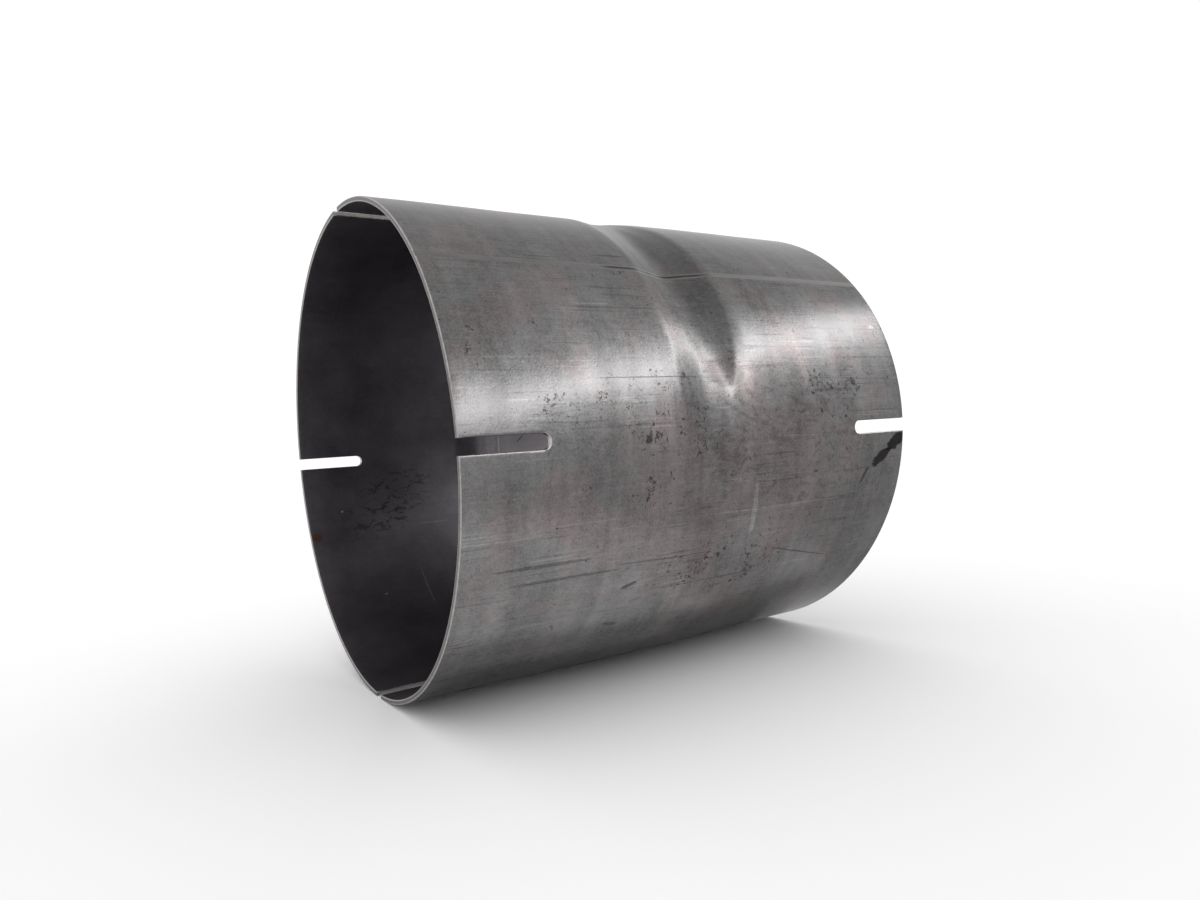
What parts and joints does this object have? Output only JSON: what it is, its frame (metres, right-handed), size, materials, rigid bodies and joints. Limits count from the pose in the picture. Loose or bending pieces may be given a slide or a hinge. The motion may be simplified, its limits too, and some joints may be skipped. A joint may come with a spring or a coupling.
{
  "type": "slotted exhaust pipe coupler",
  "caption": "Thin-wall steel sleeve that joins two exhaust pipes of one size, with round-ended slots at both ends and a pressed stop at mid-length.",
  "frame": {"origin": "middle of the bore, half way between the end faces", "axes": "+X along the bore, towards the right end; a slot faces -Y and a slot faces +Z"},
  "size_m": [0.165, 0.1554, 0.1554],
  "materials": {
    "mill_steel": "mill",
    "weld_metal": "planished"
  },
  "bodies": {
    "root": {"sleeve": "mill_steel", "seam_weld": "weld_metal"}
  },
  "joints": []
}
